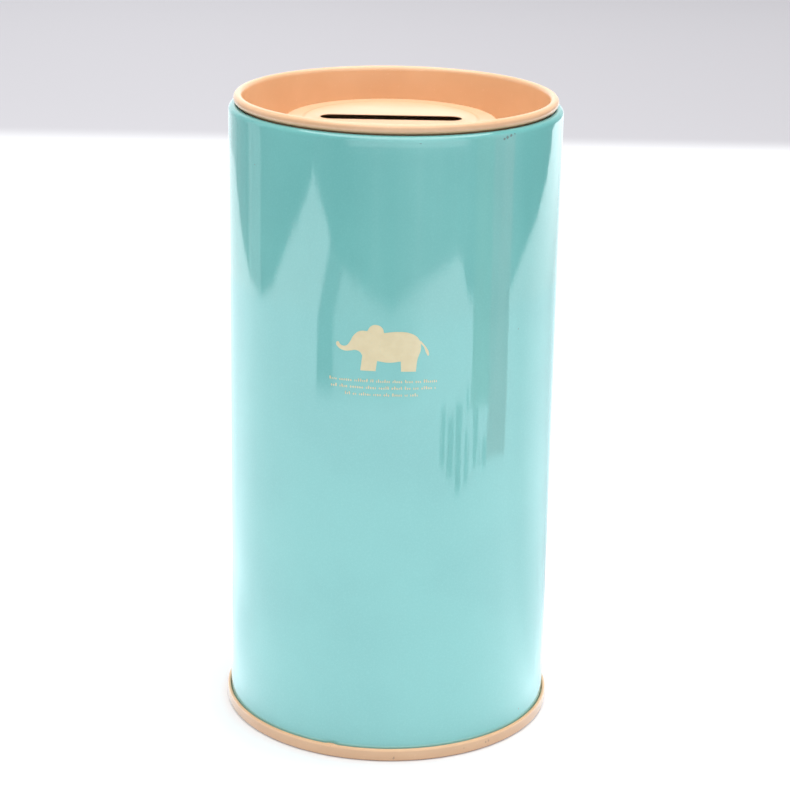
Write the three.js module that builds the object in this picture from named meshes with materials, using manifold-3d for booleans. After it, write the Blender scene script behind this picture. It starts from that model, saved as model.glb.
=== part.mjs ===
// Tin money box: a rolled tinplate body, a bottom end seamed onto it, and a lift-off lid with a coin slot.
// Millimetres, +Z up. The can's axis is the Z axis, it stands on Z = 0, and its front faces -Y.

import * as THREE from 'three';
import { mergeVertices } from 'three/addons/utils/BufferGeometryUtils.js';
import Module from 'manifold-3d';

const wasm = await Module();
wasm.setup();

// Driving dimensions
const bodyRadius = 37.5;      // outside of the body's wall
const bodyHeight = 143.9;     // top of the body's curled rim
const plate = 0.3;            // tinplate with its lacquer
const clearance = 0.3;        // air between two pieces that touch on the real tin
const aroundSteps = 64;       // facets round the tin

// Body
const rimTube = 1.3;          // radius of the inward curl at the body's top
const curlSweep = 250;        // degrees that a curled edge turns through
const sideSeamWidth = 4.2;    // locked fold of the sheet's two edges, up the back
const sideSeamDepth = 0.45;   // how far the fold stands into the tin
const sideLineWidth = 0.5;    // line that the fold leaves outside
const sideLineDepth = 0.15;
const footGap = 0.1;          // more air under the wall's lower edge, inside the double seam

// Bottom end
const seamProud = 0.85;       // how far the double seam stands out from the body
const seamHeight = 3.0;
const seamBend = 0.5;         // rounding of the seam's standing edge
const hookFold = 0.5;         // the seam's outer wall, end plate folded over the body's edge
const panelRise = 2.7;        // underside of the bottom panel above the standing surface
const grooveRise = 0.9;       // countersink groove just inside the seam
const grooveWidth = 3.2;
const stepRadius = 29;        // pressed step in the bottom panel
const stepRise = 0.6;
const stepRun = 1.2;

// Lid
const beadTube = 1.1;         // radius of the lid's rolled bead
const plugRadius = 34.5;      // outside of the wall that plugs into the body
const plugDepth = 10;         // bead's centre down to the bottom of the groove
const trayDepth = 4.6;        // bead's centre down to the edge of the raised panel
const panelRadius = 24.2;     // edge of the raised panel
const panelBend = 1.0;        // rounding of that edge, and of the groove's outer corner
const footBend = 0.8;         // rounding of the groove's inner corner
const panelLean = 20;         // degrees that the panel's side leans from upright
const discRadius = 19.6;      // pressed ring inside the raised panel
const discRise = 0.2;
const discRun = 1.2;
const panelShift = -1.1;      // the panel and its slot are pressed a little left of the lid's centre

// Coin slot
const slotLength = 31.8;
const slotWidth = 5.5;

const enamel = { color: 0x86c6c6, roughness: 0.22, metalness: 0 };
const tanLacquer = { color: 0xe6ae80, roughness: 0.38, metalness: 0 };

// Points on an arc in the (radius, height) plane, in degrees anticlockwise from outwards
function arc(centreR, centreZ, radius, from, to, steps) {
  return Array.from({ length: steps + 1 }, (unused, i) => {
    const angle = THREE.MathUtils.degToRad(from + (to - from) * i / steps);
    return [centreR + radius * Math.cos(angle), centreZ + radius * Math.sin(angle)];
  });
}

// A smooth pressed step from one (radius, height) to another
function step([fromR, fromZ], [toR, toZ], steps) {
  return Array.from({ length: steps + 1 }, (unused, i) => {
    const t = i / steps;
    return [fromR + (toR - fromR) * t, THREE.MathUtils.smoothstep(t, 0, 1) * (toZ - fromZ) + fromZ];
  });
}

// The line's other side, a distance away on the right of its direction of travel
function otherSide(line, distance) {
  return line.map(([r, z], i) => {
    const [r0, z0] = line[Math.max(i - 1, 0)];
    const [r1, z1] = line[Math.min(i + 1, line.length - 1)];
    const length = Math.hypot(r1 - r0, z1 - z0);
    return [r === 0 ? 0 : r + distance * (z1 - z0) / length, z - distance * (r1 - r0) / length];
  });
}

// Turns a (radius, height) outline round the tin's axis into a closed solid
function turn(outline) {
  const points = outline.map(([r, z]) => new THREE.Vector2(r, z));
  if (THREE.ShapeUtils.area(points) < 0) points.reverse();
  if (points[0].x > 0) points.push(points[0].clone());
  return new THREE.LatheGeometry(points, aroundSteps).rotateX(Math.PI / 2);
}

function toSolid(geometry) {
  const bare = geometry.clone();
  bare.deleteAttribute('normal');
  bare.deleteAttribute('uv');
  const merged = mergeVertices(bare, 1e-4);
  const triangles = [];
  for (let i = 0; i < merged.index.count; i += 3) {
    const corners = [0, 1, 2].map((k) => merged.index.getX(i + k));
    if (new Set(corners).size === 3) triangles.push(...corners);
  }
  return new wasm.Manifold(new wasm.Mesh({
    numProp: 3,
    vertProperties: merged.attributes.position.array,
    triVerts: Uint32Array.from(triangles),
  }));
}

function toGeometry(solid) {
  const mesh = solid.getMesh();
  const geometry = new THREE.BufferGeometry();
  geometry.setAttribute('position', new THREE.BufferAttribute(mesh.vertProperties, 3));
  geometry.setIndex(new THREE.BufferAttribute(mesh.triVerts, 1));
  geometry.computeVertexNormals();
  return geometry;
}

// An upright strip at the tin's back whose section follows the wall
function backStrip(innerRadius, outerRadius, width, offset, low, high) {
  const half = width / 2 / outerRadius;
  const middle = Math.PI / 2 + offset / outerRadius;
  const section = new THREE.Shape();
  section.absarc(0, 0, outerRadius, middle - half, middle + half, false);
  section.absarc(0, 0, innerRadius, middle + half, middle - half, true);
  const settings = { depth: high - low, bevelEnabled: false, curveSegments: 6 };
  return new THREE.ExtrudeGeometry(section, settings).translate(0, 0, low);
}

function bodyShell() {
  const rimZ = bodyHeight - rimTube;
  const foot = plate + clearance + footGap;
  const outside = [[bodyRadius, foot], ...arc(bodyRadius - rimTube, rimZ, rimTube, 0, curlSweep, 14)];
  const wall = turn([...outside, ...otherSide(outside, -plate).reverse()]);

  const low = panelRise + grooveRise + plate + 2 * clearance;
  const high = rimZ - rimTube - 1;
  const foldInside = bodyRadius - plate - sideSeamDepth;
  const fold = backStrip(foldInside, bodyRadius - plate / 2, sideSeamWidth, 0, low, high);
  const lineBottom = bodyRadius - sideLineDepth;
  const line = backStrip(lineBottom, bodyRadius + 1, sideLineWidth, sideSeamWidth / 2, low, high);
  return toGeometry(toSolid(wall).add(toSolid(fold)).subtract(toSolid(line)));
}

function bottomEnd() {
  const outer = bodyRadius + seamProud;
  const chuckOutside = bodyRadius - plate - clearance;
  const chuck = chuckOutside - plate;
  const grooveTop = panelRise + grooveRise;
  const under = [
    [0, panelRise + stepRise],
    ...step([stepRadius - stepRun, panelRise + stepRise], [stepRadius, panelRise], 4),
    ...step([chuck - grooveWidth, panelRise], [chuck - panelBend, grooveTop], 4),
    ...arc(chuck - panelBend, grooveTop - panelBend, panelBend, 75, 0, 4),
    [chuck, plate],
  ];
  const standingEdge = [
    ...arc(chuck + seamBend, seamBend, seamBend, 180, 270, 3),
    ...arc(outer - seamBend, seamBend, seamBend, 270, 360, 3),
  ];
  const hook = [
    ...arc(outer - hookFold / 2, seamHeight - hookFold / 2, hookFold / 2, 0, 180, 4),
    [outer - hookFold, plate],
  ];
  const over = otherSide(under, -plate).reverse();
  return toGeometry(toSolid(turn([...under.slice(0, -1), ...standingEdge, ...hook, ...over])));
}

function lid() {
  const rimR = bodyRadius - rimTube;
  const rimZ = bodyHeight - rimTube;
  const wall = plugRadius - plate;
  const beadR = wall + beadTube;
  const beadZ = rimZ + Math.sqrt((beadTube + rimTube + clearance) ** 2 - (rimR - beadR) ** 2);
  const panelZ = beadZ - trayDepth;
  const grooveZ = beadZ - plugDepth;
  const edge = arc(panelRadius - panelBend, panelZ - panelBend, panelBend, 90, panelLean, 3);
  const [sideR, sideZ] = edge[edge.length - 1];
  const lean = THREE.MathUtils.degToRad(panelLean);
  const footZ = grooveZ + footBend * (1 - Math.sin(lean));
  const footR = sideR + (sideZ - footZ) * Math.tan(lean) + footBend * Math.cos(lean);
  const top = [
    [0, panelZ + discRise],
    ...step([discRadius - discRun / 2, panelZ + discRise], [discRadius + discRun / 2, panelZ], 3),
    ...edge,
    ...arc(footR, grooveZ + footBend, footBend, 180 + panelLean, 270, 3),
    ...arc(wall - panelBend, grooveZ + panelBend, panelBend, 270, 360, 4),
    ...arc(beadR, beadZ, beadTube, 180, 180 - curlSweep, 14),
  ];
  const sheet = turn([...top, ...otherSide(top, plate).reverse()]);

  // Slides the panel sideways, fading out between its edge and the groove
  const place = sheet.attributes.position;
  for (let i = 0; i < place.count; i += 1) {
    const radius = Math.hypot(place.getX(i), place.getY(i));
    const fade = THREE.MathUtils.smoothstep(radius, footR, wall - panelBend);
    const onPanel = place.getZ(i) < rimZ - rimTube;
    if (onPanel) place.setX(i, place.getX(i) + panelShift * (1 - fade));
  }

  const slot = new THREE.Shape();
  const reach = (slotLength - slotWidth) / 2;
  slot.absarc(panelShift + reach, 0, slotWidth / 2, -Math.PI / 2, Math.PI / 2, false);
  slot.absarc(panelShift - reach, 0, slotWidth / 2, Math.PI / 2, 3 * Math.PI / 2, false);
  const cutter = new THREE.ExtrudeGeometry(slot, { depth: 4, bevelEnabled: false, curveSegments: 8 });
  cutter.translate(0, 0, panelZ - 2);
  return toGeometry(toSolid(sheet).subtract(toSolid(cutter)));
}

const moneyBox = new THREE.Group();

function addPiece(name, geometry, finish) {
  const piece = new THREE.Mesh(geometry, new THREE.MeshStandardMaterial(finish));
  piece.name = name;
  moneyBox.add(piece);
}

addPiece('body_shell', bodyShell(), enamel);
addPiece('bottom_end', bottomEnd(), tanLacquer);
addPiece('lid', lid(), tanLacquer);

export default moneyBox;
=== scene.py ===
import random
from math import atan2, cos, degrees, hypot, pi, radians, sin

import bpy
from mathutils import Matrix, Vector


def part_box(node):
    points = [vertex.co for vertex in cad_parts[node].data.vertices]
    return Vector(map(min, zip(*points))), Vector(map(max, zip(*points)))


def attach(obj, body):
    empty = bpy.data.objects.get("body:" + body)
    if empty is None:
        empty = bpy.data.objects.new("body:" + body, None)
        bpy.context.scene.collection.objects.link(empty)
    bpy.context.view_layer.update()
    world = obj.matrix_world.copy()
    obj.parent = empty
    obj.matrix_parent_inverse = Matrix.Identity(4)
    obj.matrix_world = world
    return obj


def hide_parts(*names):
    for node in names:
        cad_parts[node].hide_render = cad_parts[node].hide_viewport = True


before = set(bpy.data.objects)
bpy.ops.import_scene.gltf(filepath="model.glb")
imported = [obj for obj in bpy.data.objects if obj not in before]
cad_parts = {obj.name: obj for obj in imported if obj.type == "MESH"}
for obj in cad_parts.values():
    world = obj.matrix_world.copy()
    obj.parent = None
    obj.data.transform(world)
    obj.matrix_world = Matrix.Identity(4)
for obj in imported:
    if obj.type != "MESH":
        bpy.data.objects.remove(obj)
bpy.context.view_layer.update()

mm = 0.001
bodyLow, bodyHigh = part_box("body_shell")
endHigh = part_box("bottom_end")[1]
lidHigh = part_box("lid")[1]
bodyRadius = bodyHigh.x
aroundEdges = 240  # edges round the tin
plate = 0.3 * mm  # thickness of the tinplate with its lacquer
print("frame loaded: body %.1f mm across, tin %.1f mm tall" % (2 * bodyRadius / mm, lidHigh.z / mm))


# A socket that can be used in sums
class Wire:
    def __init__(self, tree, socket):
        self.tree = tree
        self.socket = socket

    def math(self, operation, first, second=None):
        node = self.tree.nodes.new("ShaderNodeMath")
        node.operation = operation
        for place, value in enumerate([first, second]):
            if isinstance(value, Wire):
                self.tree.links.new(value.socket, node.inputs[place])
            elif value is not None:
                node.inputs[place].default_value = value
        return Wire(self.tree, node.outputs[0])

    def __add__(self, other):
        return self.math("ADD", self, other)

    __radd__ = __add__

    def __sub__(self, other):
        return self.math("SUBTRACT", self, other)

    def __rsub__(self, other):
        return self.math("SUBTRACT", other, self)

    def __mul__(self, other):
        return self.math("MULTIPLY", self, other)

    __rmul__ = __mul__

    def __truediv__(self, other):
        return self.math("DIVIDE", self, other)

    def __rtruediv__(self, other):
        return self.math("DIVIDE", other, self)

    # Degrees from the other value's direction round to this one's
    def bearing(self, other):
        return self.math("ARCTAN2", self, other) * (180 / pi)

    def length(self, other):
        return self.math("SQRT", self * self + other * other)


# A material under construction
class Finish:
    def __init__(self, name):
        self.material = bpy.data.materials.new(name)
        self.material.use_nodes = True
        self.tree = self.material.node_tree
        self.tree.nodes.clear()

    # Any node: its type, its settings, then its sockets' values or links by name or number
    def node(self, kind, settings=None, sockets=None, out=0):
        node = self.tree.nodes.new("ShaderNode" + kind)
        for name, value in (settings or {}).items():
            setattr(node, name, value)
        for name, value in (sockets or {}).items():
            if isinstance(value, Wire):
                self.tree.links.new(value.socket, node.inputs[name])
            else:
                node.inputs[name].default_value = value
        return Wire(self.tree, node.outputs[out]) if node.outputs else None

    def place(self):
        return self.node("TexCoord", out="Object")

    def split(self, vector):
        x = self.node("SeparateXYZ", sockets={0: vector}, out="X")
        parts = x.socket.node.outputs
        return x, Wire(self.tree, parts["Y"]), Wire(self.tree, parts["Z"])

    def stretched(self, scale):
        return self.node("Mapping", sockets={"Vector": self.place(), "Scale": scale})

    def noise(self, size, vector=None, detail=2.0, roughness=0.5):
        vector = vector or self.place()
        return self.node("TexNoise", sockets={
            "Vector": vector, "Scale": 1 / size, "Detail": detail, "Roughness": roughness})

    # 0 to 1 as the value goes from low to high
    def between(self, value, low, high):
        return self.node("MapRange", {"interpolation_type": "SMOOTHSTEP"},
            {"Value": value, "From Min": low, "From Max": high})

    def blend(self, amount, first, second, how="MIX"):
        node = self.tree.nodes.new("ShaderNodeMix")
        node.data_type = "RGBA"
        node.blend_type = how
        for place, value in (("Factor", amount), (6, first), (7, second)):
            if isinstance(value, Wire):
                self.tree.links.new(value.socket, node.inputs[place])
            else:
                node.inputs[place].default_value = value
        return Wire(self.tree, node.outputs[2])

    # 1 in small marks at the given places in mm, each (x, y, z, size), 0 elsewhere
    def marks(self, spots):
        ragged = self.noise(0.35 * mm, detail=2.0)
        total = None
        for x, y, z, size in spots:
            away = self.node("VectorMath", {"operation": "DISTANCE"},
                {0: self.place(), 1: (x * mm, y * mm, z * mm)}, "Value")
            spot = 1 - self.between(away + (ragged - 0.5) * size * mm, 0.7 * size * mm, 1.0 * size * mm)
            total = spot if total is None else total + spot
        return total

    # Grey steps: (place, level) pairs
    def ramp(self, value, stops):
        node = self.tree.nodes.new("ShaderNodeValToRGB")
        slots = node.color_ramp.elements
        while len(slots) < len(stops):
            slots.new(0.5)
        for slot, (place, level) in zip(slots, stops):
            slot.position = place
        for slot, (place, level) in zip(slots, stops):
            slot.color = (level, level, level, 1)
        self.tree.links.new(value.socket, node.inputs[0])
        return self.split(Wire(self.tree, node.outputs[0]))[0]

    # Unevenness that is a given distance deep, laid over what is under it
    def bump(self, height, distance, under=None):
        sockets = {"Height": height, "Distance": distance, "Strength": 1.0}
        if under:
            sockets["Normal"] = under
        return self.node("Bump", sockets=sockets)

    def finish(self, sockets):
        shader = self.node("BsdfPrincipled", sockets=sockets)
        self.node("OutputMaterial", sockets={"Surface": shader})
        return self.material


def rgb(red, green, blue):
    return (red, green, blue, 1.0)


# Materials

tealLook = {
    "pale": rgb(0.158, 0.460, 0.438),
    "deep": rgb(0.146, 0.434, 0.416),
    "dots": rgb(0.24, 0.62, 0.60),
    "chipped": rgb(0.07, 0.08, 0.08),
    # painted light for the crease just above the seam
    "paintedCreaseLight": rgb(0.34, 0.64, 0.60),
    "roughness": 0.05,
    # how deep each unevenness is
    "waves": 0.035 * mm,
    "rolling": 0.016 * mm,
    "peel": 0.0055 * mm,
    "grain": 0.0006 * mm,
    # where it is chipped: (x, y, z, size) in mm
    "chips": [
        (23.2, -29.4, 142.3, 0.32), (23.9, -28.9, 142.5, 0.42), (24.7, -28.2, 142.8, 0.36),
        (25.5, -27.4, 143.0, 0.22), (31.1, -20.95, 5.5, 0.26), (-30.2, -22.2, 134.2, 0.2),
        (27.8, -25.2, 99.2, 0.2)],
}


def tealEnamel():
    f = Finish("tealEnamel")
    z = f.split(f.place())[2]
    cloud = f.noise(28 * mm, detail=3.0)
    colour = f.blend(f.between(cloud, 0.35, 0.65), tealLook["deep"], tealLook["pale"])
    # dots of the printed tint, only just there
    dots = f.noise(0.35 * mm, detail=1.0)
    colour = f.blend(f.between(dots, 0.4, 0.75) * 0.10, colour, tealLook["dots"])
    # chips on the shoulder where the lid knocks it
    chips = f.noise(0.9 * mm, detail=3.0, roughness=0.6)
    shoulder = f.between(z, bodyHigh.z - 4.5 * mm, bodyHigh.z - 1.0 * mm)
    chipped = f.between(chips + shoulder * 0.05, 0.785, 0.80) + f.marks(tealLook["chips"]) * 0.8
    colour = f.blend(chipped * 0.9, colour, tealLook["chipped"])
    # painted light: the wall just above the seam is made paler, lifting the shade in the crease
    seamTop = bottomPressing["seamHeight"]
    paintedCreaseLight = 1 - f.between(z, seamTop + 0.2 * mm, seamTop + 0.7 * mm)
    colour = f.blend(paintedCreaseLight * 0.6, colour, tealLook["paintedCreaseLight"])

    waves = f.noise(22 * mm, f.stretched((1, 1, 0.16)), detail=1.0)
    rolling = f.noise(1.3 * mm, f.stretched((1, 1, 0.06)), detail=2.0)
    peel = f.noise(0.8 * mm, detail=2.0)
    grain = f.noise(0.28 * mm, detail=2.0)
    normal = f.bump(waves, tealLook["waves"])
    normal = f.bump(rolling, tealLook["rolling"], under=normal)
    normal = f.bump(peel, tealLook["peel"], under=normal)
    normal = f.bump(grain, tealLook["grain"], under=normal)
    rough = tealLook["roughness"] + 0.02 * f.noise(9 * mm, detail=4.0) + chipped * 0.3
    return f.finish({"Base Color": colour, "Roughness": rough, "Normal": normal, "IOR": 1.5})


tanLook = {
    "pale": rgb(0.80, 0.500, 0.288),
    "deep": rgb(0.765, 0.468, 0.264),
    "roughness": 0.22,
    "gloss": 0.34,
    "shaded": rgb(0.83, 0.82, 0.85),  # painted shade: the outer faces of the seam band and of the bead are a little darker
    "specks": rgb(0.88, 0.58, 0.38),
    # painted shade for the underside of the standing edge
    "paintedEdgeShade": rgb(0.34, 0.20, 0.14),
    "nicked": rgb(0.30, 0.19, 0.13),
    # how deep each unevenness is
    "waves": 0.02 * mm,
    "peel": 0.004 * mm,
    "grain": 0.0015 * mm,
    "nicks": 0.02 * mm,
    # where it is knocked: (x, y, z, size) in mm
    "knocks": [
        (2.1, -38.3, 0.8, 0.30), (2.15, -38.3, 1.1, 0.22), (23.3, -30.5, 1.5, 0.32),
        (23.9, -30.0, 1.6, 0.32), (18.2, -33.8, 1.5, 0.18), (-12.3, -36.3, 2.75, 0.22)],
}


def tanLacquer():
    f = Finish("tanLacquer")
    x, y, z = f.split(f.place())
    cloud = f.noise(16 * mm, detail=3.0)
    colour = f.blend(f.between(cloud, 0.35, 0.65), tanLook["deep"], tanLook["pale"])
    specks = f.noise(0.55 * mm, detail=2.0)
    colour = f.blend(f.between(specks, 0.66, 0.74) * 0.35, colour, tanLook["specks"])
    # nicks along the standing edge and the seam
    nicks = f.noise(1.1 * mm, detail=3.0, roughness=0.65)
    low = 1 - f.between(z, 0.2 * mm, 4.2 * mm)
    # painted shade on the outer faces of the seam band and the bead's outer half; their top corners stay
    # lighter
    seamTop = bottomPressing["seamHeight"]
    below = 1 - f.between(z, seamTop - 0.7 * mm, seamTop - 0.3 * mm)
    bead = f.between(z, 50 * mm, 60 * mm) * (1 - f.between(z, lidHigh.z - 0.9 * mm, lidHigh.z - 0.5 * mm))
    paintedShadeMask = f.between(x.length(y), 34.6 * mm, 35.3 * mm) * (below + bead)
    colour = f.blend(paintedShadeMask, colour, f.blend(1.0, colour, tanLook["shaded"], "MULTIPLY"))
    # painted shade: darker brown along the underside of the edge that it stands on
    paintedEdgeShade = 1 - f.between(z, 0.2 * mm, 0.5 * mm)
    colour = f.blend(paintedEdgeShade * 0.6, colour, tanLook["paintedEdgeShade"])
    nicked = f.between(nicks + low * 0.045, 0.765, 0.785) + f.marks(tanLook["knocks"]) * 0.7
    colour = f.blend(nicked * 0.7, colour, tanLook["nicked"])

    peel = f.noise(1.0 * mm, detail=2.0)
    grain = f.noise(0.25 * mm, detail=2.0)
    normal = f.bump(f.noise(6 * mm, detail=1.0), tanLook["waves"])
    normal = f.bump(peel, tanLook["peel"], under=normal)
    normal = f.bump(grain, tanLook["grain"], under=normal)
    normal = f.bump(1 - nicked, tanLook["nicks"], under=normal)
    rough = tanLook["roughness"] + 0.10 * (f.noise(5 * mm, detail=4.0) - 0.5)
    return f.finish({
        "Base Color": colour, "Roughness": rough, "Normal": normal,
        "IOR": 1.5, "Specular IOR Level": tanLook["gloss"]})


tinLook = {
    "dark": rgb(0.60, 0.60, 0.59),
    "light": rgb(0.70, 0.70, 0.685),
    "stain": rgb(0.46, 0.44, 0.40),
    "crystal": 3 * mm,
    "roughness": 0.26,
}


def bareTin():
    f = Finish("bareTin")
    spangle = f.node("TexVoronoi", {"feature": "F1"},
        {"Vector": f.place(), "Scale": 1 / tinLook["crystal"]}, "Color")
    crystal = f.split(spangle)[0]
    rolled = f.noise(0.5 * mm, f.stretched((1, 1, 0.04)), detail=3.0)
    colour = f.blend(crystal, tinLook["dark"], tinLook["light"])
    stains = f.between(f.noise(11 * mm, detail=5.0), 0.56, 0.70)
    colour = f.blend(stains * 0.4, colour, tinLook["stain"])
    rough = tinLook["roughness"] + 0.10 * crystal + 0.12 * rolled
    normal = f.bump(rolled, 0.006 * mm)
    return f.finish({"Base Color": colour, "Metallic": 1.0, "Roughness": rough, "Normal": normal})


inkLook = {
    "pale": rgb(0.64, 0.54, 0.320),
    "deep": rgb(0.61, 0.505, 0.290),
    "roughness": 0.06,
    "peel": 0.0022 * mm,
}


def creamInk():
    f = Finish("creamInk")
    cloud = f.noise(2.2 * mm, detail=4.0)
    colour = f.blend(f.between(cloud, 0.3, 0.7), inkLook["deep"], inkLook["pale"])
    thin = f.between(f.noise(0.22 * mm, detail=2.0), 0.60, 0.75)
    colour = f.blend(thin * 0.18, colour, tealLook["pale"])
    peel = f.noise(1.1 * mm, detail=2.0)
    normal = f.bump(peel, inkLook["peel"])
    rough = inkLook["roughness"] + 0.03 * cloud
    return f.finish({"Base Color": colour, "Roughness": rough, "Normal": normal, "IOR": 1.5})


# The first material is the outside's, and the second is the inside's once the sheet has its thickness
def paint(piece, *materials):
    for material in materials:
        piece.data.materials.append(material)


# Modelling steps

def startFresh():
    if bpy.context.object and bpy.context.object.mode == "EDIT":
        bpy.ops.object.mode_set(mode="OBJECT")
    bpy.ops.object.select_all(action="DESELECT")


def named(name):
    piece = bpy.context.active_object
    piece.name = name
    piece.data.name = name
    return piece


def selectOnly(piece):
    startFresh()
    bpy.context.view_layer.objects.active = piece
    piece.select_set(True)


def settle(piece):
    selectOnly(piece)
    bpy.ops.object.transform_apply(location=True, rotation=True, scale=True)


def applyModifier(piece, kind, name, **settings):
    selectOnly(piece)
    modifier = piece.modifiers.new(name, kind)
    for setting, value in settings.items():
        setattr(modifier, setting, value)
    bpy.ops.object.modifier_apply(modifier=modifier.name)


def smooth(piece, angle=40):
    selectOnly(piece)
    bpy.ops.object.shade_smooth_by_angle(angle=radians(angle))


def edit(piece):
    selectOnly(piece)
    bpy.ops.object.mode_set(mode="EDIT")
    bpy.ops.mesh.select_mode(type="VERT")
    bpy.ops.mesh.select_all(action="DESELECT")


# Selects the vertices that a test picks, in edit mode
def pick(piece, test):
    bpy.ops.mesh.select_all(action="DESELECT")
    bpy.ops.object.mode_set(mode="OBJECT")
    for vertex in piece.data.vertices:
        vertex.select = bool(test(vertex.co))
    for edge in piece.data.edges:
        edge.select = all(piece.data.vertices[v].select for v in edge.vertices)
    for face in piece.data.polygons:
        face.select = all(piece.data.vertices[v].select for v in face.vertices)
    bpy.ops.object.mode_set(mode="EDIT")


# A bare ring of edges, left selected in edit mode, from which growRings pulls the sheet
def startRing(name, radius, height):
    startFresh()
    bpy.ops.mesh.primitive_circle_add(vertices=aroundEdges, radius=radius, location=(0, 0, height))
    piece = named(name)
    settle(piece)
    bpy.ops.object.mode_set(mode="EDIT")
    bpy.ops.mesh.select_mode(type="VERT")
    bpy.ops.mesh.select_all(action="SELECT")
    return piece


# Pulls the selected ring through the (radius, height, sideways) stations
def growRings(stations):
    last = stations[0]
    for station in stations[1:]:
        radius, height, sideways = station
        bpy.ops.mesh.extrude_region_move()
        grow = radius / last[0]
        bpy.ops.transform.resize(value=(grow, grow, 1), center_override=(last[2], 0, last[1]))
        bpy.ops.transform.translate(value=(sideways - last[2], 0, height - last[1]))
        last = station


# Stations along an arc, in degrees anticlockwise from outwards
def arcStations(centreR, centreZ, radius, start, stop, steps, sideways=0.0):
    stations = []
    for i in range(steps + 1):
        angle = radians(start + (stop - start) * i / steps)
        stations.append((centreR + radius * cos(angle), centreZ + radius * sin(angle), sideways))
    return stations


# Stations along a smooth pressed step
def easedStations(first, last, steps):
    stations = []
    for i in range(steps + 1):
        t = i / steps
        ease = t * t * (3 - 2 * t)
        stations.append((
            first[0] + (last[0] - first[0]) * t,
            first[1] + (last[1] - first[1]) * ease,
            first[2] + (last[2] - first[2]) * t))
    return stations


# Joins what meets, turns the faces outwards and leaves edit mode
def outwards():
    bpy.ops.mesh.select_all(action="SELECT")
    bpy.ops.mesh.remove_doubles(threshold=0.002 * mm)
    bpy.ops.mesh.normals_make_consistent(inside=False)
    bpy.ops.object.mode_set(mode="OBJECT")


# Points the open sheet's normals away from the given point, since a sheet has no inside of its own
def faceAwayFrom(piece, point):
    face = max(piece.data.polygons, key=lambda p: p.area)
    towards = (face.center - Vector(point)).dot(face.normal)
    if towards < 0:
        edit(piece)
        bpy.ops.mesh.select_all(action="SELECT")
        bpy.ops.mesh.flip_normals()
        bpy.ops.object.mode_set(mode="OBJECT")


# Body sheet: rolled wall, locked side seam, curled rim

bodySheet = {
    "curlTube": 1.3 * mm,
    "curlSweep": 250,
    "curlSteps": 22,
    "foldWidth": 4.2 * mm,
    "foldProud": 0.16 * mm,
    "foldInside": 0.34 * mm,
    "foldCuts": 5,
    "foldFromSeam": 0.3 * mm,
    "foldFromCurl": 1.0 * mm,
    "creaseWidth": 0.35 * mm,
    "creaseDepth": 0.16 * mm,
}


def makeBodySheet(outside, inside):
    d = bodySheet
    rimZ = bodyHigh.z - d["curlTube"]
    foldLow = bottomPressing["seamHeight"] + d["foldFromSeam"]
    foldHigh = rimZ - d["foldFromCurl"]
    piece = startRing("bodySheet", bodyRadius, bodyLow.z)

    # finer edges at the back, where the side seam is folded
    half = d["foldWidth"] / 2
    pick(piece, lambda p: p.y > 0 and abs(p.x) < half + 1.0 * mm)
    bpy.ops.mesh.subdivide(number_cuts=d["foldCuts"])
    bpy.ops.mesh.select_all(action="SELECT")

    stations = [(bodyRadius, bodyLow.z, 0)]
    stations += [(bodyRadius, z, 0) for z in (foldLow - 0.4 * mm, foldLow, foldLow + 1.2 * mm)]
    stations += [(bodyRadius, foldLow + (foldHigh - foldLow) * i / 8, 0) for i in range(1, 8)]
    stations += [(bodyRadius, z, 0) for z in (foldHigh - 1.2 * mm, foldHigh)]
    curlR = bodyRadius - d["curlTube"]
    stations += arcStations(curlR, rimZ, d["curlTube"], 0, d["curlSweep"], d["curlSteps"])
    growRings(stations)
    outwards()
    faceAwayFrom(piece, (0, 0, bodyHigh.z / 2))
    paint(piece, outside, inside)

    # the fold stands a little proud, and the sheet's edge leaves a crease down one side of it
    edit(piece)
    alongFold = lambda p: p.y > 0 and foldLow < p.z < foldHigh - 0.1 * mm
    pick(piece, lambda p: alongFold(p) and abs(p.x) < half)
    bpy.ops.transform.translate(value=(0, d["foldProud"], 0))
    creaseHalf = d["creaseWidth"] / 2
    pick(piece, lambda p: alongFold(p) and abs(p.x - half - creaseHalf) < creaseHalf)
    bpy.ops.transform.translate(value=(0, -d["creaseDepth"], 0))
    bpy.ops.object.mode_set(mode="OBJECT")

    applyModifier(piece, "SOLIDIFY", "plate", thickness=plate, offset=-1, material_offset=1,
        use_even_offset=True)

    # the fold's other layers, inside the tin
    edit(piece)
    innerSide = lambda p: hypot(p.x, p.y) < bodyRadius - plate + 0.2 * mm
    pick(piece, lambda p: (p.y > 0 and abs(p.x) < half and innerSide(p)
        and foldLow + 0.5 * mm < p.z < foldHigh - 0.5 * mm))
    bpy.ops.transform.translate(value=(0, -d["foldInside"], 0))
    bpy.ops.object.mode_set(mode="OBJECT")
    smooth(piece)
    return piece


# Bottom end: double seam, countersink groove, pressed panel

bottomPressing = {
    "seamHeight": 3.0 * mm,
    "seamCorner": 0.42 * mm,
    "standBend": 0.55 * mm,
    "hookGap": 0.07 * mm,
    "hookLow": 1.1 * mm,
    "chuckInset": 0.9 * mm,
    "panelRise": 2.7 * mm,
    "grooveRise": 0.9 * mm,
    "grooveWidth": 3.2 * mm,
    "bend": 1.0 * mm,
    "stepRadius": 29 * mm,
    "stepRise": 0.6 * mm,
    "stepRun": 1.2 * mm,
    "flat": (20 * mm, 10 * mm, 3 * mm),  # rings of edges on the flat middle
    "slip": (-12.1 * mm, -36.2 * mm, 2.9 * mm),
    "slipReach": 1.0 * mm,
    "slipPush": (-0.05 * mm, -0.16 * mm, 0.32 * mm),
}


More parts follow.
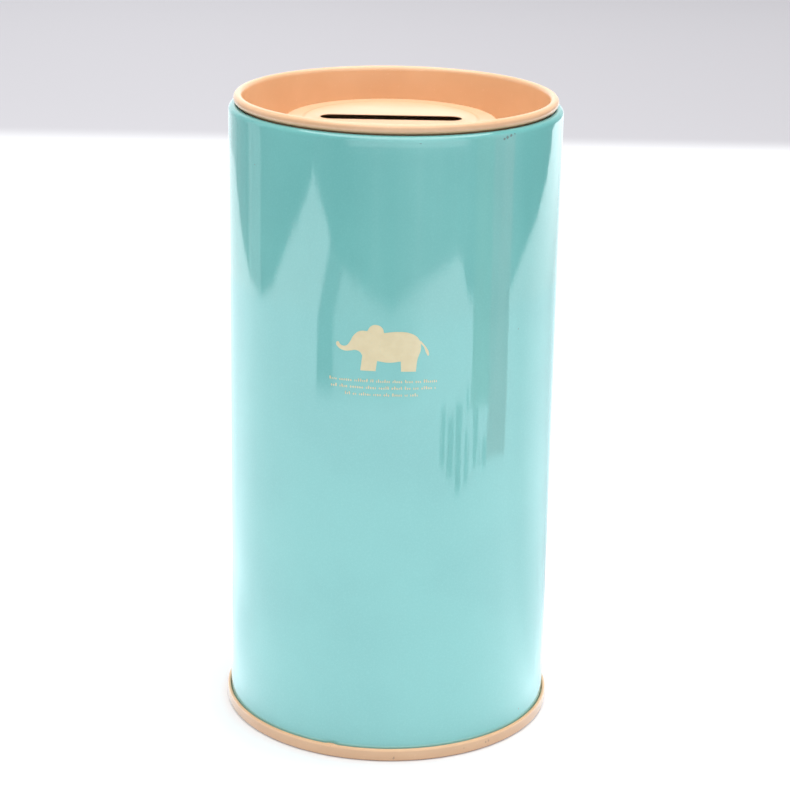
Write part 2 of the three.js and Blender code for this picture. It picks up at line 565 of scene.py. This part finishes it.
def makeBottomEnd(outside, inside):
    d = bottomPressing
    outer = endHigh.x
    chuck = bodyRadius - d["chuckInset"]
    grooveTop = d["panelRise"] + d["grooveRise"]
    stepTop = d["panelRise"] + d["stepRise"]
    top = d["seamHeight"] - d["seamCorner"]
    hookR = bodyRadius + d["hookGap"]
    lip = (outer - hookR) / 2
    stations = [(hookR, d["hookLow"], 0), (hookR, top - 0.3 * mm, 0)]
    stations += arcStations(hookR + lip, d["seamHeight"] - lip, lip, 180, 60, 8)
    stations += arcStations(outer - d["seamCorner"], top, d["seamCorner"], 50, 0, 5)
    stations += [(outer, d["seamHeight"] / 2 + 0.2 * mm, 0)]
    stations += arcStations(outer - d["standBend"], d["standBend"], d["standBend"], 0, -90, 8)
    stations += arcStations(chuck + d["standBend"], d["standBend"], d["standBend"], -90, -180, 8)
    stations += arcStations(chuck - d["bend"], grooveTop - d["bend"], d["bend"], 0, 80, 8)
    stations += easedStations(
        (chuck - d["bend"] - 0.2 * mm, grooveTop, 0), (chuck - d["grooveWidth"], d["panelRise"], 0), 7)
    stations += easedStations(
        (d["stepRadius"], d["panelRise"], 0), (d["stepRadius"] - d["stepRun"], stepTop, 0), 7)
    stations += [(radius, stepTop, 0) for radius in d["flat"]]
    piece = startRing("bottomPressing", hookR, d["hookLow"])
    growRings(stations)
    bpy.ops.mesh.merge(type="CENTER")
    outwards()
    # a bulge where the seaming roller slipped
    edit(piece)
    slip = Vector(d["slip"])
    outerSide = lambda p: hypot(p.x, p.y) > bodyRadius + 0.2 * mm
    pick(piece, lambda p: (p - slip).length < d["slipReach"] and outerSide(p))
    bpy.ops.transform.translate(value=d["slipPush"])
    bpy.ops.object.mode_set(mode="OBJECT")
    faceAwayFrom(piece, (0, 0, 20 * mm))
    paint(piece, outside, inside)
    applyModifier(piece, "SOLIDIFY", "plate", thickness=plate * 0.9, offset=-1, material_offset=1)
    smooth(piece)
    return piece


# Lid: rolled bead, plug wall, raised panel, punched slot

lidPressing = {
    "beadTall": 1.1 * mm,
    "beadWide": 1.0 * mm,
    "beadSweep": 250,
    "beadSteps": 24,
    "wall": 34.4 * mm,
    "trayDepth": 4.6 * mm,
    "plugDepth": 10.0 * mm,
    "bend": 1.0 * mm,
    "footBend": 0.8 * mm,
    "lean": 20,
    "panelRadius": 24.2 * mm,
    "discRadius": 19.6 * mm,
    "discRise": 0.2 * mm,
    "discRun": 1.2 * mm,
    "discFlat": 1.4 * mm,  # from the pressed ring to the flat that the slot is in
    "shift": -1.1 * mm,  # the panel is pressed a little off the lid's centre
    "slotLength": 31.8 * mm,
    "slotWidth": 5.5 * mm,
    "slotEdges": 64,
    "rollOver": 0.15 * mm,
    "rollSteps": 6,
}


def makeLid(lacquer):
    d = lidPressing
    beadR = lidHigh.x - d["beadWide"]
    beadZ = lidHigh.z - d["beadTall"]
    panelZ = beadZ - d["trayDepth"]
    grooveZ = beadZ - d["plugDepth"]
    discZ = panelZ + d["discRise"]
    shift = d["shift"]
    lean = d["lean"]
    leanAcross, leanUp = sin(radians(lean)), cos(radians(lean))

    bead = arcStations(0, beadZ, d["beadTall"], 180 - d["beadSweep"], 180, d["beadSteps"])
    flat = d["beadWide"] / d["beadTall"]
    stations = [(beadR + r * flat, z, 0) for r, z, sideways in bead]
    stations += [(d["wall"], beadZ - 3 * mm, 0)]
    stations += arcStations(d["wall"] - d["bend"], grooveZ + d["bend"], d["bend"], 0, -90, 8)
    edge = arcStations(d["panelRadius"] - d["bend"], panelZ - d["bend"], d["bend"], lean, 90, 8, shift)
    footZ = grooveZ + d["footBend"] * (1 - leanAcross)
    footR = edge[0][0] + (edge[0][1] - footZ) * leanAcross / leanUp
    foot = arcStations(footR + d["footBend"] * leanUp, grooveZ + d["footBend"], d["footBend"],
        -90, -180 + lean, 6, shift)
    stations += [((d["wall"] + foot[0][0]) / 2, grooveZ, shift / 2)]
    stations += foot + edge
    halfRun = d["discRun"] / 2
    stations += easedStations(
        (d["discRadius"] + halfRun, panelZ, shift), (d["discRadius"] - halfRun, discZ, shift), 7)
    discInner = d["discRadius"] - d["discFlat"]
    stations += [(discInner, discZ, shift)]
    piece = startRing("lidPressing", stations[0][0], stations[0][1])
    growRings(stations)

    # the slot's rim starts as a circle, whose halves are pulled apart
    reach = (d["slotLength"] - d["slotWidth"]) / 2
    rims = []
    for i in range(d["rollSteps"] + 1):
        angle = radians(90 * i / d["rollSteps"])
        radius = d["slotWidth"] / 2 + d["rollOver"] * (1 - sin(angle))
        rims.append((radius, discZ - d["rollOver"] * (1 - cos(angle))))
    bpy.ops.mesh.select_all(action="DESELECT")
    bpy.ops.mesh.primitive_circle_add(vertices=d["slotEdges"], radius=rims[0][0],
        location=(shift, 0, discZ), rotation=(0, 0, pi / d["slotEdges"]))
    endX = d["slotLength"] / 2 + 0.5 * mm
    nearSlot = lambda p: abs(p.y) < d["slotWidth"] / 2 + 0.5 * mm and abs(p.x - shift) < endX
    for side in (1, -1):
        pick(piece, lambda p: nearSlot(p) and (p.x - shift) * side > 0)
        bpy.ops.transform.translate(value=(side * reach, 0, 0))
    pick(piece, lambda p: hypot(p.x - shift, p.y) < discInner + 0.1 * mm and p.z > discZ - 0.05 * mm)
    bpy.ops.mesh.fill(use_beauty=True)
    pick(piece, nearSlot)
    for (r0, z0), (r1, z1) in zip(rims, rims[1:]):
        bpy.ops.mesh.extrude_region_move()
        bpy.ops.transform.translate(value=(0, 0, z1 - z0))
        level = lambda p: nearSlot(p) and abs(p.z - z1) < 0.003 * mm
        for side in (1, -1):
            pick(piece, lambda p: level(p) and (p.x - shift) * side > 0)
            bpy.ops.transform.resize(value=(r1 / r0, r1 / r0, 1),
                center_override=(shift + side * reach, 0, z1))
        pick(piece, level)
    outwards()
    faceAwayFrom(piece, (0, 0, 0))
    paint(piece, lacquer)
    applyModifier(piece, "SOLIDIFY", "plate", thickness=plate * 0.9, offset=-1)
    smooth(piece)
    return piece


# Print: an elephant of plain rounded shapes over three rows of dashes

elephantPrint = {
    "feet": 92.6 * mm,
    "sideways": 0.1 * mm,
    "proud": 0.05 * mm,
    "skin": 0.03 * mm,
    "column": 0.8 * mm,
    "body": [
        (-12.0, 5.9), (-11.5, 4.9), (-10.2, 4.3), (-8.9, 4.4), (-7.8, 4.6), (-6.9, 4.3), (-6.3, 3.5),
        (-6.7, 0.1), (-3.4, 0.1), (-3.1, 2.4), (-0.6, 2.1), (2.0, 2.4), (2.1, 0.1), (5.3, 0.1),
        (5.6, 2.9), (6.3, 5.2), (5.8, 7.4), (4.2, 8.6), (1.2, 9.0), (-1.7, 8.7),
        (-2.0, 9.7), (-3.1, 10.4), (-4.4, 10.2), (-5.3, 9.0), (-6.9, 8.9), (-8.2, 7.9), (-9.0, 6.4),
        (-9.9, 5.4), (-11.0, 5.5), (-11.6, 6.2)],
    "sharp": (6, 7, 8, 9, 11, 12, 13, 19, 23),
    "tail": [(5.9, 6.7), (6.9, 5.6), (7.5, 4.1), (7.9, 3.6), (8.0, 4.3), (7.2, 5.8), (6.2, 7.0)],
    "tailSharp": (0, 6),
}
dashRows = {
    # height and both ends of each row, in mm
    "rows": [(90.4, -13.3, 9.95), (88.9, -12.95, 9.7), (87.35, -9.85, 5.75)],
    "tall": 0.66 * mm,
    "wide": 0.27 * mm,
    "gap": 0.19 * mm,
    "space": 0.42 * mm,
    "column": 5 * mm,
    "seed": 7,
}


# A flat shape through (x, z) points in mm, with a corner at each sharp one
def closedCurve(name, points, sharp):
    startFresh()
    bpy.ops.curve.primitive_bezier_circle_add(radius=mm)
    curve = named(name)
    spline = curve.data.splines[0]
    spline.bezier_points.add(len(points) - len(spline.bezier_points))
    for i, (x, z) in enumerate(points):
        point = spline.bezier_points[i]
        point.co = (x * mm, z * mm, 0)
        point.handle_left_type = point.handle_right_type = "VECTOR" if i in sharp else "AUTO"
    curve.data.dimensions = "2D"
    curve.data.fill_mode = "BOTH"
    curve.data.resolution_u = 5
    bpy.ops.object.convert(target="MESH")
    return bpy.context.active_object


# Stands a flat shape in front of the tin, cuts it into columns and lays it on the wall
def layOnWall(piece, wall, low, proud, skin, column):
    piece.rotation_euler = (radians(90), 0, 0)
    piece.location = (0, -bodyRadius - 5 * mm, low)
    settle(piece)
    bpy.ops.object.mode_set(mode="EDIT")
    reach = max(abs(v.co.x) for v in piece.data.vertices)
    columns = int(reach / column)
    for i in range(-columns, columns + 1):
        bpy.ops.mesh.select_all(action="SELECT")
        bpy.ops.mesh.bisect(plane_co=(i * column + 0.01 * mm, 0, 0), plane_no=(1, 0, 0))
    bpy.ops.object.mode_set(mode="OBJECT")
    applyModifier(piece, "SHRINKWRAP", "onWall", target=wall, wrap_method="PROJECT",
        use_project_x=False, use_project_y=True, use_project_z=False,
        use_positive_direction=True, use_negative_direction=False, offset=proud)
    edit(piece)
    outwards()
    faceAwayFrom(piece, (0, 0, bodyHigh.z / 2))
    applyModifier(piece, "SOLIDIFY", "skin", thickness=skin, offset=-1)


def makeElephant(wall):
    d = elephantPrint
    tail = closedCurve("tail", d["tail"], d["tailSharp"])
    animal = closedCurve("elephant", d["body"], d["sharp"])
    tail.select_set(True)
    bpy.ops.object.join()
    animal.location.x = d["sideways"]
    settle(animal)
    layOnWall(animal, wall, d["feet"], d["proud"], d["skin"], d["column"])
    return animal


def makeDashes(wall):
    d = dashRows
    dice = random.Random(d["seed"])
    startFresh()
    bpy.ops.mesh.primitive_circle_add(vertices=8, radius=0.5 * mm, fill_type="NGON")
    first = named("dashRows")
    dashes = []
    for row, left, right in d["rows"]:
        x = left * mm
        word = dice.randint(2, 7)
        while x < right * mm:
            wide = d["wide"] * dice.uniform(0.7, 1.3)
            tall = d["tall"] * dice.choice((0.75, 0.8, 0.85, 1.25))
            dash = first.copy()
            dash.data = first.data.copy()
            dash.location = (x + wide / 2, row * mm + (tall - d["tall"]) / 2, 0)
            dash.scale = (wide / mm, tall / mm, 1)
            dash.rotation_euler = (0, 0, dice.uniform(-0.2, 0.2))
            bpy.context.collection.objects.link(dash)
            dashes.append(dash)
            x += wide + d["gap"]
            word -= 1
            if word == 0:
                x += d["space"]
                word = dice.randint(2, 8)
    startFresh()
    for dash in dashes:
        dash.select_set(True)
    bpy.data.objects.remove(first)
    bpy.context.view_layer.objects.active = dashes[0]
    bpy.ops.object.join()
    rows = named("dashRows")
    settle(rows)
    layOnWall(rows, wall, 0, elephantPrint["proud"], elephantPrint["skin"], d["column"])
    return rows


teal = tealEnamel()
tan = tanLacquer()
tin = bareTin()
ink = creamInk()
print("materials made")
body = makeBodySheet(teal, tin)
print("body sheet:", len(body.data.polygons), "faces")
bottom = makeBottomEnd(tan, tin)
print("bottom end:", len(bottom.data.polygons), "faces")
lid = makeLid(tan)
print("lid:", len(lid.data.polygons), "faces")
animal = makeElephant(body)
dashes = makeDashes(body)
print("print:", len(animal.data.polygons) + len(dashes.data.polygons), "faces")

for piece, bodyName, node, slotName in (
    (body, "can", "body_shell", "teal_enamel"),
    (bottom, "can", "bottom_end", "tan_lacquer"),
    (lid, "lid", "lid", "tan_lacquer"),
):
    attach(piece, bodyName)
    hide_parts(node)
for piece in (animal, dashes):
    paint(piece, ink)
    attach(piece, "can")


# Stage, light and camera

scene = bpy.context.scene
stageLook = {
    "floor": rgb(0.86, 0.86, 0.87),
    "beyondLeft": rgb(0.585, 0.572, 0.598),
    "beyondRight": rgb(0.535, 0.521, 0.545),
    "lift": 1.16,  # how much lighter the far end is
    "liftFrom": 0.60,
    "liftTo": 1.15,
    "edge": 0.655,
    "blur": 0.022,
}


def makeFloor():
    startFresh()
    bpy.ops.mesh.primitive_plane_add(size=6.0, location=(0, 0, 0))
    floor = named("floor")
    f = Finish("floorPaint")
    x, y = f.split(f.place())[:2]
    far = f.between(y, stageLook["edge"] - stageLook["blur"], stageLook["edge"] + stageLook["blur"])
    beyond = f.blend(f.between(x, -0.25, 0.25), stageLook["beyondLeft"], stageLook["beyondRight"])
    lift = 1 + (stageLook["lift"] - 1) * f.between(y, stageLook["liftFrom"], stageLook["liftTo"])
    colour = f.blend(far, stageLook["floor"], f.blend(1.0, beyond, lift, "MULTIPLY"))
    paint(floor, f.finish({"Base Color": colour, "Roughness": 0.8}))


# what the enamel mirrors: a bright table, a darker room beyond it, pale things standing about
mirrorLook = {
    "ring": 0.40,
    "ringHeight": 0.7,
    "bright": 4.3,
    "half": 2.9,
    "tableColour": (0.88, 1.0, 1.07),
    "ceiling": 5.0,
    "window": 1.7,
    # how bright the table is that way round, as a share
    "share": [
        (-180, 0.35), (-143, 0.46), (-129, 0.56), (-121, 0.66), (-111, 0.72), (-100, 0.76), (-85, 0.84),
        (-70, 0.94), (-45, 1), (65, 1), (82, 0.92), (96, 0.70), (112, 0.66), (125, 0.55), (140, 0.34),
        (180, 0.32)],
    # how high up the room the bright things reach, in mm
    "brightTo": [
        (-180, 60), (-140, 50), (-126, 23), (-114, 7), (-100, -1), (-88, 6), (-74, 25), (-63.6, 38),
        (-57.5, 47), (-54, 55), (-50, 46), (-44.5, 37), (-39, 25.5), (-33, 19), (-26, 15), (-14, 8),
        (0, 3), (14, 12), (30, 18), (44, 24), (52, 6), (84, 6), (98, 21), (111, 32), (124, 47),
        (130, 60), (136, 95), (180, 95)],
    # how bright the room above them is
    "room": [
        (-180, 1.5), (-150, 1.4), (-132, 0.7), (-115, 0.55), (-113, 1.35), (-101, 1.3), (-99, 0.5),
        (-85, 0.5), (-60, 0.35), (-49, 0.6), (-38, 0.3), (-24, 0.45), (-12, 0.9), (0, 0.75), (10, 1.1),
        (15, 1.3), (46, 1.0), (55, 0.9), (57, 0.5), (76, 0.6), (78, 1.0), (92, 0.6), (96, 0.3),
        (122, 0.2), (150, 0.8), (180, 1.5)],
    # things standing on the table: radius, bearings, height, colour
    "screens": [
        ("mirrorScreenFar", 0.285, 53, 68, 0.3, (1.55, 1.55, 1.35)),
        ("mirrorScreenNear", 0.230, 65, 82, 0.3, (2.3, 1.4, 1.45))],
    # leaves lying in front of them, seen as upright strokes: bearings, then heights in mm
    "leaves": [
        (32, 36, 10, 28), (37, 41, 6, 25), (42, 46, 0.5, 29), (48, 52, 26, 33), (48, 52, 3, 20),
        (54, 58, 8, 26), (58, 60, 8, 16), (61, 65, 7, 16)],
    "leafRadius": 0.205,
    "leafGlow": 1.7,
}


# Hidden from all but glossy reflections
def mirrorOnly(piece):
    for ray in ("camera", "diffuse", "transmission", "volume_scatter", "shadow"):
        setattr(piece, "visible_" + ray, False)


# A glow of a level, or of one that changes over the surface
def glow(f, level, colour=(0.97, 0.985, 1.02)):
    if isinstance(level, Wire):
        sockets = {"Color": f.blend(1.0, rgb(*colour), level, "MULTIPLY"), "Strength": 1.0}
    else:
        sockets = {"Color": rgb(*colour), "Strength": level}
    f.node("OutputMaterial", sockets={"Surface": f.node("Emission", sockets=sockets)})
    return f.material


# A piece of upright wall round the tin
def standing(name, radius, start, stop, low, high):
    startFresh()
    bpy.ops.mesh.primitive_cylinder_add(vertices=360, radius=radius, depth=high - low,
        end_fill_type="NOTHING", location=(0, 0, (low + high) / 2))
    screen = named(name)
    settle(screen)
    edit(screen)
    pick(screen, lambda p: not start <= degrees(atan2(p.x, -p.y)) <= stop)
    bpy.ops.mesh.delete(type="VERT")
    bpy.ops.object.mode_set(mode="OBJECT")
    mirrorOnly(screen)
    return screen


# A disc as wide as the room, lying over the tin's foot or over its top
def lying(name, height):
    startFresh()
    bpy.ops.mesh.primitive_circle_add(vertices=96, radius=mirrorLook["ring"], fill_type="NGON",
        location=(0, 0, height))
    disc = named(name)
    settle(disc)
    mirrorOnly(disc)
    return disc


# A level for each bearing, from (degrees, level) pairs
def around(f, bearing, levels, most):
    stops = [((angle + 180) / 360, level / most) for angle, level in levels]
    return f.ramp((bearing + 180) / 360, stops) * most


# The table's light, with a duller part at the front and a dark band left of it
def tableLevel(f, bearing, away):
    d = mirrorLook
    front = f.between(bearing, -40, -37) * (1 - f.between(bearing, 5, 25))
    band = f.between(bearing, -51, -49) * (1 - f.between(bearing, -40, -37))
    dim = (front + 2.3 * band) * away
    return (d["bright"] - dim * (d["bright"] - d["half"])) * around(f, bearing, d["share"], 1)


def makeMirrorCards():
    d = mirrorLook
    table = lying("mirrorTable", 0.2 * mm)
    f = Finish("mirrorTableGlow")
    x, y = f.split(f.place())[:2]
    bearing = x.bearing(0 - y)
    out = x.length(y)
    near = f.ramp((out - bodyRadius) / 0.04, [(0, 0.3), (0.1, 0.55), (0.25, 0.85), (0.45, 0.95), (1, 1)])
    left = (1 - f.between(bearing, -115, -80)) * (1 - f.between(out, 0.07, 0.11))
    right = f.between(bearing, 80, 120) * (1 - f.between(out, 0.06, 0.20))
    level = tableLevel(f, bearing, f.between(out, 0.285, 0.325)) * near * (1 - 0.25 * left - 0.3 * right)
    paint(table, glow(f, level, d["tableColour"]))

    startFresh()
    bpy.ops.mesh.primitive_cylinder_add(vertices=96, radius=d["ring"], depth=d["ringHeight"],
        end_fill_type="NOTHING", location=(0, 0, d["ringHeight"] / 2))
    room = named("mirrorRoom")
    settle(room)
    f = Finish("mirrorRoomGlow")
    x, y, z = f.split(f.place())
    bearing = x.bearing(0 - y)
    brightTo = around(f, bearing, d["brightTo"], 100) * mm
    bright = f.between(z, brightTo + 2 * mm, brightTo - 2 * mm)
    shade = f.noise(0.012, f.stretched((1, 1, 0.05)), detail=3.0)
    level = around(f, bearing, d["room"], 2) * (0.4 + 1.2 * shade)
    pane = f.between(z, 64 * mm, 70 * mm) * f.between(bearing, -34, -26) * (1 - f.between(bearing, 44, 52))
    level = level + pane * d["window"]
    white = tableLevel(f, bearing - z * 330, 1)
    paint(room, glow(f, level + bright * (white - level), (0.94, 1.0, 1.04)))
    mirrorOnly(room)

    paint(lying("mirrorCeiling", d["ringHeight"]), glow(Finish("mirrorCeilingGlow"), d["ceiling"]))

    for name, radius, start, stop, height, colour in d["screens"]:
        screen = standing(name, radius, start, stop, 0, height)
        f = Finish(name + "Glow")
        z = f.split(f.place())[2]
        stripes = f.noise(0.006, f.stretched((1, 1, 0.05)), detail=3.0)
        low = 1 - f.between(z, 0, 60 * mm)
        paint(screen, glow(f, 0.62 + 0.3 * low + 0.25 * f.between(stripes, 0.35, 0.65), colour))

    leafGlow = glow(Finish("mirrorLeafGlow"), d["leafGlow"], (0.92, 1.0, 1.02))
    for i, (start, stop, low, high) in enumerate(d["leaves"]):
        leaf = standing("mirrorLeaf%d" % i, d["leafRadius"], start, stop, low * mm, high * mm)
        paint(leaf, leafGlow)


lights = {
    "sky": 0.72,
    "skyColour": (0.97, 0.98, 1.0, 1.0),
    "overhead": 13.0,
    "front": 1.0,
    "aim": Vector((0, 0, 0.07)),
}


def makeLights():
    world = bpy.data.worlds.new("studio")
    scene.world = world
    world.use_nodes = True
    background = world.node_tree.nodes["Background"]
    background.inputs["Color"].default_value = lights["skyColour"]
    background.inputs["Strength"].default_value = lights["sky"]
    for name, power, size, place in (
        ("overhead", lights["overhead"], 1.2, (0.1, 0.1, 1.1)),
        ("front", lights["front"], 0.8, (-0.6, -0.9, 0.9)),
    ):
        startFresh()
        bpy.ops.object.light_add(type="AREA", location=place)
        lamp = bpy.context.active_object
        lamp.name = name
        lamp.data.size = size
        lamp.data.energy = power
        lamp.rotation_euler = (lights["aim"] - Vector(place)).to_track_quat("-Z", "Y").to_euler()


cameraView = {
    "place": Vector((2.3, -508, 240.3)) * mm,
    "down": 18.0,
    "left": -0.16,
    "roll": 1.0,
    "lens": 104.4,
}


def makeCamera():
    bpy.ops.object.camera_add(location=cameraView["place"])
    camera = bpy.context.active_object
    camera.name = "camera"
    turn = Matrix.Rotation(radians(-cameraView["left"]), 4, "Z")
    tilt = Matrix.Rotation(radians(90 - cameraView["down"]), 4, "X")
    roll = Matrix.Rotation(radians(cameraView["roll"]), 4, "Z")
    camera.matrix_world = Matrix.Translation(cameraView["place"]) @ turn @ tilt @ roll
    camera.data.lens = cameraView["lens"]
    camera.data.sensor_width = 36
    camera.data.clip_start = 0.01
    camera.data.clip_end = 20
    scene.camera = camera


scene.view_settings.view_transform = "Standard"
makeFloor()
makeMirrorCards()
makeLights()
makeCamera()
print("stage, lights and camera placed")
